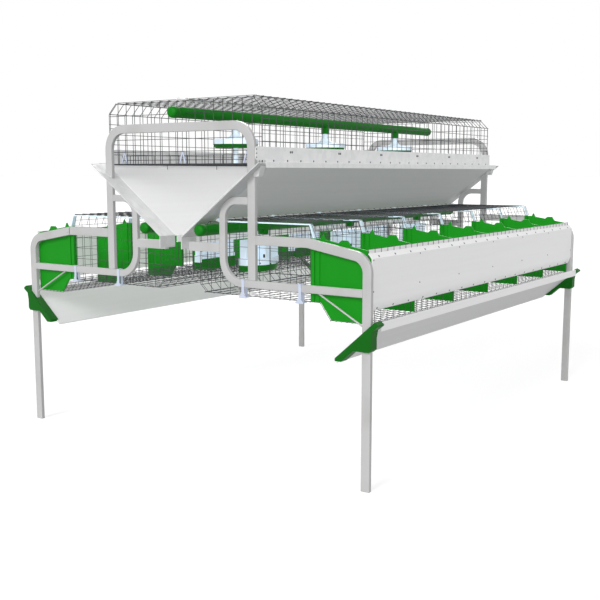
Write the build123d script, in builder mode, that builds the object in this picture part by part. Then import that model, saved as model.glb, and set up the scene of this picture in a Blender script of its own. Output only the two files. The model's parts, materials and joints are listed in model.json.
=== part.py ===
from build123d import *
import os
from math import atan2, cos, degrees, hypot, pi, radians, sin, tan

os.makedirs("parts", exist_ok=True)

# Rabbit breeding cage: two rows of doe cages with nests, a dung hopper between them and a fattening
# cage on top. X runs across the cage, Y along its rows and Z up. The origin is on the ground under
# the middle of the cage. All sizes are in millimetres.

# Doe cages
cage_pitch = 400.0
cages_per_row = 6
doe_floor_height = 760.0
doe_depth = 602.0
doe_height = 323.0
wall_gap = 51.0
wall_foot_rise = 33.0
wall_foot_run = 29.0

# Nests
nest_depth = 274.0
nest_drop = 70.0
nest_step_run = 51.0
nest_net_height = 301.0

# Nest partitions
partition_thick = 8.0
strip_width = 44.0
strip_thick = 20.0
strip_rise = 265.0
partition_fall = 40.0
groove_width = 9.0
groove_depth = 6.0
knob_offset = 12.0
knob_width = 22.0
knob_rise = 20.0
bump_offset = 116.0
bump_width = 58.0
bump_rise = 17.0

# Outer panels of the nests
panel_thick = 3.0
panel_standoff = 20.0
panel_low_rise = 20.0
panel_high_rise = 195.0
panel_flange_rise = 20.0
panel_flange_drop = 38.0
panel_end_gap = 2.0

# Nets
net_thick = 4.0
net_bar = 6.0
net_edge = 8.0
lid_columns = 2
lid_rows = 2
long_columns = 11
floor_columns = 5
floor_rows = 2
divider_columns = 2
divider_rows = 2
upper_end_columns = 4

# End frames of rectangular tube
tube_width = 40.0
tube_depth = 20.0
rail_width = 32.0
end_gap = 15.0
leg_gap = 30.0
rail_rise = 71.0
side_tube_rise = 266.0
shoulder_fall = 54.0
leg_bend = 70.0
kink_bend = 90.0
arch_inset = 54.0
arch_rise = 182.0
arch_bend = 95.0
loop_inset = 165.0
loop_bend = 76.0
rail_bend = 104.0
crossbar_drop = 18.0
brace_thick = 8.0
brace_offset = 54.0
brace_drop = 117.0

# Dung hopper
slot_half = 63.0
hopper_rise = 243.0
hopper_half = 500.0
hopper_angle = 37.0
board_thick = 6.0
saddle_thick = 4.0
saddle_length = 100.0
saddle_overhang = 43.0
lip_drop = 50.0
window_gap = 1.0
clip_length = 30.0
clip_foot = 24.0
clip_head = 40.0
clip_height = 15.0

# Upper cage
upper_inset = 44.0
upper_wall = 236.0
bevel_rise = 46.0
upper_end_inset = 10.0
ridge_half = 14.0
ridge_thick = 4.0
ridge_ear = 8.0
ridge_hinge_offset = 24.0
roof_lid_overlap = 5.0
kick_gap = 13.0
kick_thick = 2.0
kick_rise = 69.0
hook_height = 57.0
hook_half = 21.0
hook_bar = 6.0
hook_spread = 368.0

# Hoops, rods and lids
hoop_thick = 5.0
hoop_width = 20.0
hoop_corner_inset = 5.0
hoop_foot_offset = 17.0
rod_radius = 4.0
eye_wall = 3.2
eye_sides = 8
hinge_gap = 0.08
hinge_clear = 30.0
lid_setback = 12.0
lid_gap = 4.0
knuckle_length = 60.0

# Feed pipes
pipe_radius = 25.0
pipe_end_chamfer = 8.0
pipe_gap = 6.0
pipe_wall_offset = 51.0
lower_pipe_overhang = 49.0
upper_pipe_overhang = 29.0
upper_pipe_drop = 57.0
drop_half = 18.0
drop_length = 17.0
collar_radius = 23.0
collar_length = 30.0
feeder_spacing = 2

# Feeders of the doe cages
trough_width = 90.0
trough_length = 262.0
trough_side = 45.0
trough_front_half = 39.0
trough_height = 29.0
trough_wall = 3.0
trough_draw = 7.0
trough_rise = 65.0
band_height = 34.0
chute_wall = 2.5
chute_depth = 40.0
chute_rise = 87.0
nose_half = 36.0
notch_gap = 6.0

# Round feeders of the upper cage
pan_radius = 110.0
pan_rise = 80.0
pan_depth = 16.5
pan_wall = 3.0
pan_floor_radius = 103.0
pan_sides = 20
rim_height = 24.5
cone_tube_radius = 18.0
cone_radius = 42.0
cone_flare = 22.0
cone_wall = 3.0
cone_lift = 44.0
stand_radius = 13.0
stand_foot_radius = 30.0
stand_foot_thick = 4.0
stand_sides = 8

# Floor hangers over the rails
hanger_thick = 3.0
hanger_width = 14.0
hanger_hook = 12.0
hanger_outer = 36.0
hanger_spacing = 300.0

# Dung deflector boards under the nests and their corner brackets
deflector_thick = 5.0
deflector_overhang = 30.0
deflector_rise = 15.0
deflector_run = 208.0
deflector_fall = 184.0
deflector_lip = 22.0
groove_depth_end = 8.0
bracket_front = 15.0
bracket_back = 12.0
bracket_edge = 13.0
bracket_cover = 5.0
bracket_wall = 11.0
bracket_arm_drop = 33.0
bracket_drop = 122.0
bracket_toe = 30.0
bracket_toe_drop = 12.0

# Clearance between pieces that lie against each other
seat = 0.3

# Places along the rows
row_half = cage_pitch * cages_per_row / 2
partition_ys = [cage_pitch * k - row_half for k in range(cages_per_row + 1)]
feeder_ys = partition_ys[1::feeder_spacing]
plain_ys = [y for y in partition_ys if y not in feeder_ys]
lid_ys = [y + cage_pitch / 2 for y in partition_ys[:-1]]
frame_in = row_half + end_gap
frame_out = frame_in + tube_depth
frame_mid = frame_in + tube_depth / 2

# Places across the rows
wall_x = slot_half + wall_gap
strip_x = wall_x + doe_depth
strip_end = strip_x + strip_width
nest_x = strip_x + nest_depth
leg_x = nest_x + leg_gap
arch_half = hopper_half - arch_inset
post_in = arch_half - tube_width
loop_x = arch_half - loop_inset - rail_width / 2
upper_half = hopper_half - upper_inset

# Heights
nest_floor = doe_floor_height - nest_drop
strip_top = doe_floor_height + strip_rise
hoop_top = doe_floor_height + doe_height
hoop_bottom = hoop_top - hoop_thick
rail_top = doe_floor_height + rail_rise
rail_mid = rail_top - rail_width / 2
hopper_low = doe_floor_height + hopper_rise
slope = radians(hopper_angle)
upper_floor = hopper_low + (hopper_half - slot_half) * tan(slope)
bevel_low = upper_floor + upper_wall
roof = bevel_low + bevel_rise + seat + net_thick * cos(radians(45))
arch_top = upper_floor + arch_rise


def hopper_under(x):
    return hopper_low + (x - slot_half) * tan(slope)


def hopper_over(x, thick):
    return hopper_under(x) + thick / cos(slope)


# Lid hinges sit a fixed distance under the slope of the hopper
rod_z = hoop_top + seat + net_thick / 2
rod_x = slot_half + (rod_z + hinge_clear / cos(slope) - hopper_low) / tan(slope)
eye_radius = rod_radius + hinge_gap + eye_wall
roof_rod_z = roof + seat + net_thick / 2
hoop_corner_x = strip_x - hoop_corner_inset
hoop_foot_x = strip_x + hoop_foot_offset
lid_outer = hoop_corner_x + hoop_thick / 4
roof_lid_outer = upper_half - bevel_rise + roof_lid_overlap

# Feed lines
pipe_x = wall_x + pipe_wall_offset
pipe_z = hopper_under(pipe_x) - (pipe_radius + pipe_gap) / cos(slope)
upper_pipe_z = roof - upper_pipe_drop
trough_z = doe_floor_height + trough_rise
band_z = trough_z + trough_height + seat
trough_in = wall_x + net_thick / 2 + seat
trough_mid = trough_in + trough_width / 2
drop_z = pipe_z - pipe_radius - drop_length
pan_z = upper_floor + pan_rise
pan_top = pan_z + pan_depth
cone_low = pan_z + cone_lift
collar_z = upper_pipe_z - pipe_radius - collar_length

sides = (("left", -1), ("right", 1))


def save(builder, name):
    builder.part.label = name
    export_step(builder.part, f"parts/{name}.step")


def holed(width, height, columns, rows):
    gap_w = (width - 2 * net_edge - (columns - 1) * net_bar) / columns
    gap_h = (height - 2 * net_edge - (rows - 1) * net_bar) / rows
    with GridLocations(gap_w + net_bar, gap_h + net_bar, columns, rows):
        Rectangle(gap_w, gap_h, mode=Mode.SUBTRACT)


# Flat net between two edges that run along Y, given by their places in X and Z
def run_net(start, end, y_from, y_to, columns, rows):
    run_x = end[0] - start[0]
    run_z = end[1] - start[1]
    centre = ((start[0] + end[0]) / 2, (y_from + y_to) / 2, (start[1] + end[1]) / 2)
    with BuildSketch(Plane(centre, x_dir=(0, 1, 0), z_dir=(-run_z, 0, run_x))) as net:
        Rectangle(y_to - y_from, hypot(run_x, run_z))
        holed(y_to - y_from, hypot(run_x, run_z), columns, rows)
    extrude(net.sketch, amount=net_thick / 2, both=True)


# Flat tube bent along a path in the plane of an end frame
def frame_tube(points, bends, width):
    with BuildSketch(Plane.XZ.offset(frame_mid)) as tube:
        with BuildLine():
            FilletPolyline(*points, radius=bends)
        trace(line_width=width)
    extrude(tube.sketch, amount=tube_depth / 2, both=True)


# Straight-edged profile in X and Z, drawn out along Y
def profile_part(points, y_from, y_to, mode=Mode.ADD):
    with BuildSketch(Plane.XZ.offset(-(y_from + y_to) / 2)) as profile:
        Polygon(*points, align=None)
    extrude(profile.sketch, amount=(y_to - y_from) / 2, both=True, mode=mode)


# Eye folded round a hinge rod, with a flat at its foot
def eye(radius, mode=Mode.ADD):
    RegularPolygon(radius, eye_sides, major_radius=False, rotation=180 / eye_sides, mode=mode)


# Knuckles that wrap a lid's hinge rod, with a tab to the lid's edge
def knuckles(x, z, tab, y_centres):
    for y in y_centres:
        with BuildSketch(Plane.XZ.offset(-y)) as knuckle:
            with Locations((x, z)):
                eye(eye_radius)
            with Locations((x + tab / 2, z)):
                Rectangle(abs(tab), net_thick)
            with Locations((x, z)):
                eye(rod_radius + hinge_gap, mode=Mode.SUBTRACT)
        extrude(knuckle.sketch, amount=knuckle_length / 2, both=True)


# End frames: legs, rails with loops, crossbars and braces on both sides of an arch
side_tube_mid = doe_floor_height + side_tube_rise - tube_width / 2
shoulder = atan2(shoulder_fall, leg_x - strip_x)
leg_mid = leg_x - tube_width / 2
leg_in = leg_x - tube_width - seat
leg_corner_z = side_tube_mid + tube_width / 2 * (1 - 1 / cos(shoulder)) - (leg_mid - strip_x) * tan(shoulder)

# The loop's upper bend carries the hopper, so its height follows the slope
loop_in = loop_x - rail_width / 2
loop_touch = (loop_bend + rail_width / 2 + seat) / cos(slope)
loop_mid = hopper_under(loop_x + loop_bend) - loop_touch + loop_bend
crossbar_from = slot_half + saddle_thick + seat
crossbar_top = hopper_low - crossbar_drop
rail_bottom = rail_top - rail_width - seat
brace_x = strip_x + brace_offset
brace_z = rail_bottom - brace_drop

with BuildPart() as front_frame:
    frame_tube(
        [
            (leg_mid, 0),
            (leg_mid, leg_corner_z),
            (strip_x - tube_width / 2 * tan(shoulder / 2), side_tube_mid),
            (arch_half + seat, side_tube_mid),
        ],
        [leg_bend, kink_bend],
        tube_width,
    )
    frame_tube(
        [(leg_in, rail_mid), (loop_x, rail_mid), (loop_x, loop_mid), (post_in - seat, loop_mid)],
        [rail_bend, loop_bend],
        rail_width,
    )
    with BuildSketch(Plane.XZ.offset(frame_mid)):
        with Locations((crossbar_from, crossbar_top)):
            Rectangle(loop_in - seat - crossbar_from, tube_width, align=(Align.MIN, Align.MAX))
    extrude(amount=tube_depth / 2, both=True)
    profile_part(
        [
            (brace_x - brace_thick, rail_bottom),
            (brace_x + brace_thick / 2, rail_bottom),
            (leg_in, brace_z + brace_thick / 2),
            (leg_in, brace_z - brace_thick / 2),
        ],
        -frame_mid - brace_thick / 2,
        -frame_mid + brace_thick / 2,
    )
    mirror(about=Plane.YZ)
    frame_tube(
        [
            (-arch_half + tube_width / 2, rail_top + seat),
            (-arch_half + tube_width / 2, arch_top - tube_width / 2),
            (arch_half - tube_width / 2, arch_top - tube_width / 2),
            (arch_half - tube_width / 2, rail_top + seat),
        ],
        arch_bend,
        tube_width,
    )
save(front_frame, "front_frame")

with BuildPart() as rear_frame:
    mirror(front_frame.part, about=Plane.XZ)
save(rear_frame, "rear_frame")

# Hopper boards on the two slopes, and a saddle at each end with a lip and a window for the post
slope_length = (hopper_half - slot_half) / cos(slope)
saddle_out = frame_out + saddle_overhang
saddle_in = saddle_out - saddle_length


def slope_point(along, above, side):
    x = slot_half + along * cos(slope) - above * sin(slope)
    return (side * x, hopper_low + along * sin(slope) + above * cos(slope))


for name, side in sides:
    with BuildPart() as board:
        profile_part(
            [
                slope_point(0, 0, side),
                slope_point(slope_length, 0, side),
                slope_point(slope_length, board_thick, side),
                slope_point(0, board_thick, side),
            ],
            -saddle_in + seat,
            saddle_in - seat,
        )
    save(board, f"hopper_board_{name}")

with BuildPart() as saddles:
    profile_part(
        [
            (slot_half, hopper_low - lip_drop),
            (slot_half + saddle_thick, hopper_low - lip_drop),
            (slot_half + saddle_thick, hopper_under(slot_half + saddle_thick)),
            slope_point(slope_length, 0, 1),
            slope_point(slope_length, saddle_thick, 1),
            (slot_half, hopper_over(slot_half, saddle_thick)),
        ],
        -saddle_out,
        -saddle_in,
    )
    with BuildSketch(Plane.XY.offset(hopper_low)):
        with Locations((arch_half - tube_width / 2, -frame_mid)):
            Rectangle(tube_width + 2 * window_gap, tube_depth + 2 * window_gap)
    extrude(amount=upper_floor, mode=Mode.SUBTRACT)
    mirror(about=Plane.YZ)
    mirror(about=Plane.XZ)
save(saddles, "hopper_saddles")

# Gussets between the arch posts and the underside of the hopper
clip_x = arch_half + seat
with BuildPart() as clips:
    profile_part(
        [
            (clip_x, hopper_under(clip_x) - seat / cos(slope)),
            (clip_x, hopper_under(clip_x) - clip_height),
            (clip_x + clip_foot, hopper_under(clip_x) - clip_height),
            (clip_x + clip_head, hopper_under(clip_x + clip_head) - seat / cos(slope)),
        ],
        -frame_mid - clip_length / 2,
        -frame_mid + clip_length / 2,
    )
    mirror(about=Plane.YZ)
    mirror(about=Plane.XZ)
save(clips, "hopper_clips")

# Upper cage: nets clipped together, hung between the hopper's top edges
upper_end = row_half - upper_end_inset
upper_y = upper_end + net_thick / 2
net_in = upper_half - net_thick / 2 - seat
with BuildPart() as upper_floor_net:
    run_net(
        (-net_in, upper_floor - net_thick / 2),
        (net_in, upper_floor - net_thick / 2),
        -upper_y,
        upper_y,
        floor_columns,
        floor_rows,
    )
save(upper_floor_net, "upper_floor")

bevel_tip = net_thick / 2 * cos(radians(45))
side_low = hopper_over(upper_half + net_thick / 2, board_thick) + seat
for name, side in sides:
    with BuildPart() as upper_side:
        run_net(
            (side * upper_half, side_low),
            (side * upper_half, bevel_low),
            -upper_y,
            upper_y,
            long_columns,
            1,
        )
    save(upper_side, f"upper_side_{name}")

    with BuildPart() as upper_bevel:
        run_net(
            (side * upper_half, bevel_low + seat + bevel_tip),
            (side * (upper_half - bevel_rise), bevel_low + bevel_rise + seat + bevel_tip),
            -upper_y,
            upper_y,
            floor_columns,
            1,
        )
    save(upper_bevel, f"upper_bevel_{name}")

end_low = upper_floor + seat
end_high = roof - ridge_thick - seat
end_bevel_x = net_in - (end_high - bevel_low) + net_thick / 2
end_mid = upper_pipe_z - pipe_radius
end_top_x = end_bevel_x - net_edge
end_top_z = (end_mid + end_high - net_edge + net_bar / 2) / 2
with BuildPart() as upper_end_net:
    with BuildSketch(Plane.XZ.offset(upper_end)):
        with BuildLine():
            Polyline(
                (-net_in, end_low),
                (net_in, end_low),
                (net_in, bevel_low - net_thick),
                (end_bevel_x - net_thick, end_high),
                (-end_bevel_x + net_thick, end_high),
                (-net_in, bevel_low - net_thick),
                close=True,
            )
        make_face()
        with Locations((0, (end_low + end_mid) / 2)):
            holed(2 * net_in, end_mid - end_low + net_edge - net_bar / 2, upper_end_columns, 1)
        top_mid = (end_top_x + pipe_radius) / 2
        with Locations((top_mid, end_top_z), (-top_mid, end_top_z)):
            holed(end_top_x - pipe_radius, end_high - end_mid + net_edge - net_bar / 2, 1, 1)
        with Locations((0, upper_pipe_z)):
            Rectangle(2 * (pipe_radius + seat), 2 * (pipe_radius + seat), mode=Mode.SUBTRACT)
    extrude(amount=net_thick / 2, both=True)
save(upper_end_net, "upper_end_front")
with BuildPart() as upper_end_rear:
    mirror(upper_end_net.part, about=Plane.XZ)
save(upper_end_rear, "upper_end_rear")

# Roof ridge with ears for the two rods that the roof lids turn on
ear_ys = [-upper_end + net_thick + ridge_ear / 2, 0, upper_end - net_thick - ridge_ear / 2]
with BuildPart() as ridge:
    with BuildSketch(Plane.XY.offset(roof - ridge_thick)):
        Rectangle(2 * ridge_half, 2 * upper_y)
    extrude(amount=ridge_thick)
    for y in ear_ys:
        with BuildSketch(Plane.XZ.offset(-y)):
            with Locations((0, roof - ridge_thick / 2)):
                Rectangle(2 * ridge_hinge_offset, ridge_thick)
            with Locations((ridge_hinge_offset, roof_rod_z), (-ridge_hinge_offset, roof_rod_z)):
                eye(eye_radius)
                eye(rod_radius + hinge_gap, mode=Mode.SUBTRACT)
        extrude(amount=ridge_ear / 2, both=True)
save(ridge, "roof_ridge")

roof_lid_length = upper_end - net_thick - ridge_ear - lid_gap / 2 - ridge_ear / 2 - lid_gap / 2
roof_lid_mid = ridge_ear / 2 + lid_gap / 2 + roof_lid_length / 2
for name, side in sides:
    for number, y in ((1, -roof_lid_mid), (2, roof_lid_mid)):
        with BuildPart() as roof_lid:
            run_net(
                (side * (ridge_hinge_offset + lid_setback), roof_rod_z),
                (side * roof_lid_outer, roof_rod_z),
                y - roof_lid_length / 2,
                y + roof_lid_length / 2,
                floor_columns // 2,
                2,
            )
            knuckles(
                side * ridge_hinge_offset,
                roof_rod_z,
                side * (lid_setback + net_edge / 2),
                (y - roof_lid_length / 4, y + roof_lid_length / 4),
            )
        save(roof_lid, f"upper_lid_{name}_{number}")

# Kick strips stand on the hopper boards and lean on the side nets by a flange
kick_x = upper_half + net_thick / 2 + kick_gap
with BuildPart() as kick_strips:
    with BuildSketch(Plane.XZ):
        with BuildLine():
            Polyline(
                (kick_x, hopper_over(kick_x + kick_thick / 2, board_thick) + seat),
                (kick_x, upper_floor + kick_rise),
                (upper_half + net_thick / 2 + seat, upper_floor + kick_rise),
            )
        trace(line_width=kick_thick)
    extrude(amount=upper_y, both=True)
    mirror(about=Plane.YZ)
save(kick_strips, "kick_strips")


# Feed pipes with chamfered ends: round collars over the pans, square drops over the chutes
def feed_pipe(x, z, half_length):
    with BuildSketch(Plane.XZ.offset(-half_length)) as section:
        with Locations((x, z)):
            Circle(pipe_radius)
    extrude(section.sketch, amount=2 * half_length)
    chamfer(edges().filter_by(GeomType.CIRCLE), pipe_end_chamfer)


with BuildPart() as upper_pipe:
    feed_pipe(0, upper_pipe_z, frame_out + upper_pipe_overhang)
    with BuildSketch(Plane.XY.offset(collar_z)):
        with Locations(*[(0, y) for y in feeder_ys]):
            RegularPolygon(collar_radius, stand_sides)
    extrude(amount=upper_pipe_z - collar_z)
save(upper_pipe, "upper_feed_pipe")

for name, side in sides:
    with BuildPart() as lower_pipe:
        feed_pipe(side * pipe_x, pipe_z, frame_out + lower_pipe_overhang)
        with BuildSketch(Plane.XY.offset(drop_z)):
            with Locations(*[(side * pipe_x, y) for y in feeder_ys]):
                Rectangle(2 * drop_half, 2 * drop_half)
        extrude(amount=pipe_z - drop_z)
    save(lower_pipe, f"feed_pipe_{name}")


# Round pieces in many flats, repeated under each drop of the upper pipe
def flare(low, low_radius, high, high_radius, mode=Mode.ADD):
    lean = atan2((low_radius - high_radius) * cos(pi / pan_sides), high - low)
    for y in feeder_ys:
        with BuildSketch(Plane((0, y, low))) as foot:
            RegularPolygon(low_radius, pan_sides)
        extrude(foot.sketch, amount=high - low, taper=degrees(lean), mode=mode)


with BuildPart() as cones:
    flare(cone_low + cone_flare, cone_tube_radius, collar_z - seat, cone_tube_radius)
    flare(cone_low, cone_radius, cone_low + cone_flare, cone_tube_radius)
    flare(
        cone_low,
        cone_radius - cone_wall,
        cone_low + cone_flare - cone_wall,
        cone_tube_radius,
        Mode.SUBTRACT,
    )
save(cones, "feeder_cones")

with BuildPart() as pans:
    flare(pan_z, pan_floor_radius, pan_top, pan_radius)
    flare(pan_z + pan_wall, pan_floor_radius - pan_wall, pan_top, pan_radius - pan_wall, Mode.SUBTRACT)
save(pans, "feeder_pans")

with BuildPart() as rims:
    flare(pan_top + seat, pan_radius, pan_top + rim_height, pan_radius)
    flare(pan_top + seat, pan_radius - pan_wall, pan_top + rim_height, pan_radius - pan_wall, Mode.SUBTRACT)
save(rims, "pan_rims")

# Eight-sided posts under the pans
with BuildPart() as stands:
    for radius, top in (
        (stand_foot_radius, upper_floor + seat + stand_foot_thick),
        (stand_radius, pan_z - seat),
    ):
        with BuildSketch(Plane.XY.offset(upper_floor + seat)):
            with Locations(*[(0, y) for y in feeder_ys]):
                RegularPolygon(radius, stand_sides)
        extrude(amount=top - upper_floor - seat)
save(stands, "pan_stands")

# Nets and panels of each row
wall_foot = atan2(wall_foot_rise, wall_foot_run)
foot_end_z = doe_floor_height + seat + net_thick / 2 * cos(wall_foot)
wall_low = doe_floor_height + wall_foot_rise
wall_high = hopper_under(wall_x - net_thick / 2) - seat
nest_step = atan2(nest_drop, nest_step_run)
step_x = strip_end + seat + net_thick / 2 * sin(nest_step)
step_z = nest_floor + seat + net_thick / 2 * cos(nest_step)
panel_x = nest_x + panel_standoff
panel_tip_x = nest_x + net_thick / 2 + seat + panel_thick / 2
skirt_offset = hoop_thick / 2 + seat + net_thick / 2
hoop_lean = atan2(hoop_top - hoop_thick / 2 - strip_top, hoop_foot_x - hoop_corner_x)
skirt_x = skirt_offset * sin(hoop_lean)
skirt_z = skirt_offset * cos(hoop_lean)
for name, side in sides:
    with BuildPart() as doe_floor:
        run_net(
            (side * (wall_x + wall_foot_run - net_edge), doe_floor_height - net_thick / 2),
            (side * strip_end, doe_floor_height - net_thick / 2),
            -row_half - net_thick,
            row_half + net_thick,
            floor_columns,
            floor_rows,
        )
    save(doe_floor, f"doe_floor_{name}")

    with BuildPart() as inner_wall:
        run_net(
            (side * wall_x, wall_low),
            (side * wall_x, wall_high),
            -row_half - net_thick,
            row_half + net_thick,
            floor_columns,
            1,
        )
        run_net(
            (
                side * (wall_x + net_thick / 2 * sin(wall_foot)),
                wall_low - seat - net_thick / 2 * cos(wall_foot),
            ),
            (side * (wall_x + wall_foot_run), foot_end_z),
            -row_half - net_thick,
            row_half + net_thick,
            floor_columns,
            1,
        )
    save(inner_wall, f"inner_wall_{name}")

    with BuildPart() as nest_net_floor:
        run_net(
            (side * step_x, doe_floor_height - net_thick / 2),
            (side * (strip_end + nest_step_run), step_z),
            -row_half - net_thick,
            row_half + net_thick,
            floor_columns,
            1,
        )
        run_net(
            (side * (strip_end + nest_step_run - net_edge), nest_floor - net_thick / 2),
            (side * (nest_x + net_thick / 2), nest_floor - net_thick / 2),
            -row_half - net_thick,
            row_half + net_thick,
            floor_columns,
            1,
        )
    save(nest_net_floor, f"nest_floor_{name}")

    with BuildPart() as nest_net:
        run_net(
            (side * nest_x, nest_floor + seat),
            (side * nest_x, nest_floor + nest_net_height),
            -row_half - net_thick,
            row_half + net_thick,
            long_columns,
            1,
        )
    save(nest_net, f"nest_net_{name}")

    with BuildPart() as skirt:
        run_net(
            (side * (hoop_corner_x + skirt_x), hoop_top - hoop_thick / 2 + skirt_z),
            (side * (hoop_foot_x + skirt_x), strip_top + seat + net_thick),
            -row_half - net_thick,
            row_half + net_thick,
            floor_columns,
            1,
        )
    save(skirt, f"skirt_{name}")

    with BuildPart() as panel:
        with BuildSketch(Plane.XZ):
            with BuildLine():
                Polyline(
                    (side * panel_tip_x, doe_floor_height + panel_high_rise + panel_flange_rise),
                    (side * panel_x, doe_floor_height + panel_high_rise),
                    (side * panel_x, doe_floor_height + panel_low_rise),
                    (side * panel_tip_x, doe_floor_height + panel_low_rise - panel_flange_drop),
                )
            trace(line_width=panel_thick)
        extrude(amount=frame_in - panel_end_gap, both=True)
    save(panel, f"outer_panel_{name}")

# Nest partitions: a plate with a grooved strip, a knob and a bump on its top edge
partition_out = nest_x - net_thick / 2 - seat
top_grade = partition_fall / (nest_x - strip_end)


def partition_edge(x):
    return strip_top - (x - strip_end) * top_grade


knob_x = strip_end + knob_offset
bump_x = strip_end + bump_offset


# Upper face of the sloping net between doe floor and nest floor, which the partitions stand over
def step_face(z):
    lean = atan2(doe_floor_height - net_thick / 2 - step_z, strip_end + nest_step_run - step_x)
    return step_x + (doe_floor_height - net_thick / 2 - z) / tan(lean) + (net_thick / 2 + seat) / sin(lean)


with BuildPart() as partition:
    with BuildSketch(Plane.XZ):
        with BuildLine():
            Polyline(
                (knob_x - knob_width / 2, partition_edge(knob_x - knob_width / 2)),
                (strip_end, strip_top),
                (strip_x, strip_top),
                (strip_x, doe_floor_height + seat),
                (step_face(doe_floor_height + seat), doe_floor_height + seat),
                (step_face(nest_floor + seat), nest_floor + seat),
                (partition_out, nest_floor + seat),
                (partition_out, partition_edge(partition_out)),
                (bump_x + bump_width / 2, partition_edge(bump_x + bump_width / 2)),
                (bump_x + bump_width / 4, partition_edge(bump_x) + bump_rise),
                (bump_x - bump_width / 4, partition_edge(bump_x) + bump_rise),
                (bump_x - bump_width / 2, partition_edge(bump_x - bump_width / 2)),
                (knob_x + knob_width / 2, partition_edge(knob_x + knob_width / 2)),
                (knob_x, partition_edge(knob_x) + knob_rise),
                close=True,
            )
        make_face()
    extrude(amount=partition_thick / 2, both=True)
    with BuildSketch(Plane.XZ):
        with Locations((strip_x, doe_floor_height + seat)):
            Rectangle(strip_width, strip_rise - seat, align=(Align.MIN, Align.MIN))
    extrude(amount=strip_thick / 2, both=True)
    with BuildSketch(Plane.XY.offset(doe_floor_height)):
        with Locations(
            (strip_x + strip_width / 2, strip_thick / 2), (strip_x + strip_width / 2, -strip_thick / 2)
        ):
            Rectangle(groove_width, 2 * groove_depth)
    extrude(amount=2 * strip_rise, mode=Mode.SUBTRACT)

with BuildPart() as partitions:
    with Locations(*[(0, y, 0) for y in partition_ys]):
        add(partition.part)
    mirror(about=Plane.YZ)
save(partitions, "partitions")

# Divider nets between the does, cut under the hopper's slope, with a square cut out for the feed pipe
divider_in = wall_x + net_thick / 2 + seat
divider_out = strip_x - seat
divider_top = min(hoop_bottom, rod_z - eye_radius) - seat
divider_slope_gap = pipe_gap / 2 / cos(slope)
divider_top_x = slot_half + (divider_top + divider_slope_gap - hopper_low) / tan(slope)
divider_shoulder = hoop_corner_x - 2 * hoop_thick
grid_from = trough_in + trough_width + seat
grid_width = divider_shoulder - grid_from
grid_height = divider_top - doe_floor_height
strip_high = trough_z - notch_gap


def divider_grid():
    with Locations((grid_from + grid_width / 2, doe_floor_height + grid_height / 2)):
        holed(grid_width, grid_height, divider_columns, divider_rows)


with BuildPart() as divider:
    with BuildSketch(Plane.XZ):
        Polygon(
            (divider_in, wall_low + net_thick),
            (wall_x + wall_foot_run + 2 * net_thick, doe_floor_height + seat),
            (divider_out, doe_floor_height + seat),
            (divider_out, strip_top),
            (divider_shoulder, divider_top),
            (divider_top_x, divider_top),
            (divider_in, hopper_under(divider_in) - divider_slope_gap),
            align=None,
        )
        divider_grid()
        with Locations((pipe_x, pipe_z)):
            Rectangle(2 * (pipe_radius + seat), 2 * (pipe_radius + seat), mode=Mode.SUBTRACT)
        with Locations(((wall_x + wall_foot_run + grid_from) / 2, (wall_low + drop_z) / 2)):
            holed(grid_from - wall_x - wall_foot_run + net_edge, drop_z - wall_low, 1, 1)
    extrude(amount=net_thick / 2, both=True)

# A divider at a feeder ends at the trough, which is clipped to it, and a strip of net closes the space below
with BuildPart() as feeder_divider:
    with BuildSketch(Plane.XZ):
        Polygon(
            (grid_from, doe_floor_height + seat),
            (divider_out, doe_floor_height + seat),
            (divider_out, strip_top),
            (divider_shoulder, divider_top),
            (divider_top_x, divider_top),
            (grid_from, min(divider_top, hopper_under(grid_from) - divider_slope_gap)),
            align=None,
        )
        divider_grid()
    extrude(amount=net_thick / 2, both=True)
    with BuildSketch(Plane.XZ):
        Polygon(
            (divider_in, wall_low + net_thick),
            (wall_x + wall_foot_run + 2 * net_thick, doe_floor_height + seat),
            (grid_from - seat, doe_floor_height + seat),
            (grid_from - seat, strip_high),
            (divider_in, strip_high),
            align=None,
        )
    extrude(amount=net_thick / 2, both=True)

with BuildPart() as dividers:
    with Locations(*[(0, y, 0) for y in plain_ys]):
        add(divider.part)
    mirror(about=Plane.YZ)
save(dividers, "dividers")

with BuildPart() as feeder_dividers:
    with Locations(*[(0, y, 0) for y in feeder_ys]):
        add(feeder_divider.part)
    mirror(about=Plane.YZ)
save(feeder_dividers, "feeder_dividers")

# Hoops of flat bar: an eye for the rod, a level top and a leg that stands on the strip
with BuildPart() as hoop:
    with BuildSketch(Plane.XZ):
        with BuildLine():
            Polyline(
                (rod_x, hoop_top - hoop_thick / 2),
                (hoop_corner_x, hoop_top - hoop_thick / 2),
                (hoop_foot_x, strip_top - hoop_thick),
            )
        trace(line_width=hoop_thick)
        with Locations((rod_x, rod_z)):
            eye(eye_radius)
            eye(rod_radius + hinge_gap, mode=Mode.SUBTRACT)
        with Locations((hoop_foot_x, strip_top + seat)):
            Rectangle(strip_width, strip_width, align=(Align.CENTER, Align.MAX), mode=Mode.SUBTRACT)
    extrude(amount=hoop_width / 2, both=True)

with BuildPart() as hoops:
    with Locations(*[(0, y, 0) for y in partition_ys]):
        add(hoop.part)
    mirror(about=Plane.YZ)
save(hoops, "hoops")

with BuildPart() as rods:
    for x, z, half_length in (
        (rod_x, rod_z, row_half + hoop_width),
        (ridge_hinge_offset, roof_rod_z, upper_end),
    ):
        with BuildSketch(Plane.XZ):
            with Locations((x, z), (-x, z)):
                Circle(rod_radius)
        extrude(amount=half_length, both=True)
save(rods, "hinge_rods")

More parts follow.
